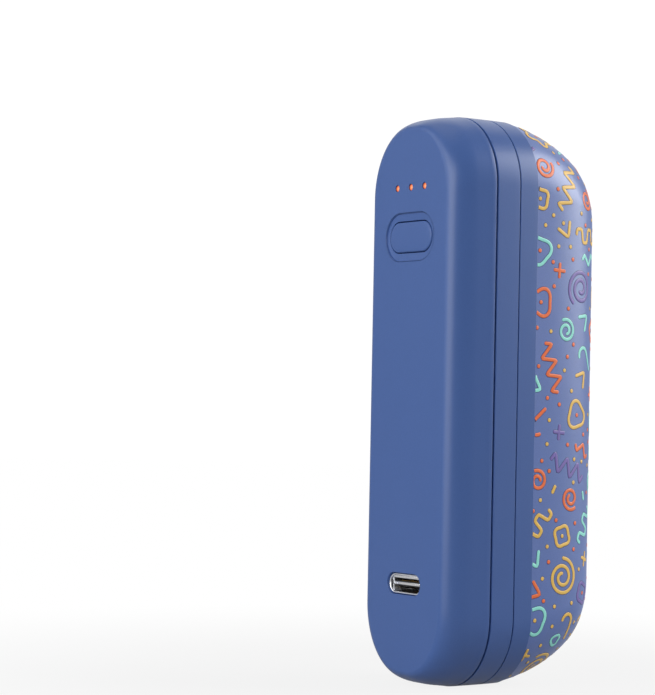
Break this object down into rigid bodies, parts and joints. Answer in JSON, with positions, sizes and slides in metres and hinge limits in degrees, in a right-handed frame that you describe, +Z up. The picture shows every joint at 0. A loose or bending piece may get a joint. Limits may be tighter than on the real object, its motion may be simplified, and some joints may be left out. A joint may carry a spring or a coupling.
{
  "type": "rechargeable hand warmer",
  "caption": "Pocket hand warmer with a printed domed front, a plain banded case, a push button, indicator lights and a charging socket.",
  "frame": {"origin": "middle of the lower end, at the bottom centre of the bounding box", "axes": "+X across the width, +Y through the depth towards the flat back face with the button, +Z up the length towards the lights"},
  "size_m": [0.026, 0.0324, 0.092],
  "materials": {
    "shell": "soft-touch blue, very fine grain",
    "printed_panel": "soft-touch blue under a raised print",
    "button": "soft-touch blue, very fine grain",
    "dark_resin": "satin black resin",
    "light_pipe": "clear resin lit orange from behind",
    "light_package": "white resin",
    "board": "green solder mask on glass fibre",
    "steel": "bright, drawn",
    "contacts": "gold flash",
    "chip": "moulded dark grey resin",
    "coil_core": "pressed ferrite",
    "ceramic": "tan ceramic",
    "cell_can": "bright drawn can",
    "nickel": "satin nickel",
    "white_paper": "insulating paper",
    "sleeve": "thin shrink film",
    "red_lead": "silicone insulation",
    "black_lead": "silicone insulation",
    "white_lead": "silicone insulation",
    "cradle": "plain moulded grey",
    "foam": "closed-cell foam",
    "spreader": "pressed sheet",
    "film": "amber film with etched tracks"
  },
  "bodies": {
    "housing": {"back_casing": "shell", "middle_band": "shell", "front_frame": "shell", "front_panel": "printed_panel", "switch_body": "dark_resin", "light_pipe_left": "light_pipe", "light_pipe_centre": "light_pipe", "light_pipe_right": "light_pipe", "light_left": "light_package", "light_centre": "light_package", "light_right": "light_package", "circuit_board": "board", "socket_shell": "steel", "socket_tongue": "dark_resin", "socket_contacts": "contacts", "charge_controller": "chip", "heater_controller": "chip", "coil": "coil_core", "capacitors": "ceramic", "battery_cell": "cell_can", "battery_pole": "nickel", "battery_insulator": "white_paper", "battery_sleeve": "sleeve", "positive_tab": "nickel", "negative_tab": "nickel", "positive_lead": "red_lead", "negative_lead": "black_lead", "battery_cradle": "cradle", "foam_pad": "foam", "heat_spreader": "spreader", "heater_film": "film", "heater_lead_left": "white_lead", "heater_lead_right": "white_lead", "temperature_sensor": "dark_resin", "board_screws": "steel", "frame_screws": "steel"},
    "button": {"button_cap": "button", "switch_plunger": "dark_resin"}
  },
  "joints": [
    {"name": "button_press", "type": "slide", "parent": "housing", "child": "button", "axis": [0, -1, 0], "range_m": [0, 0.00035], "stiffness_N_per_m": 4000}
  ]
}
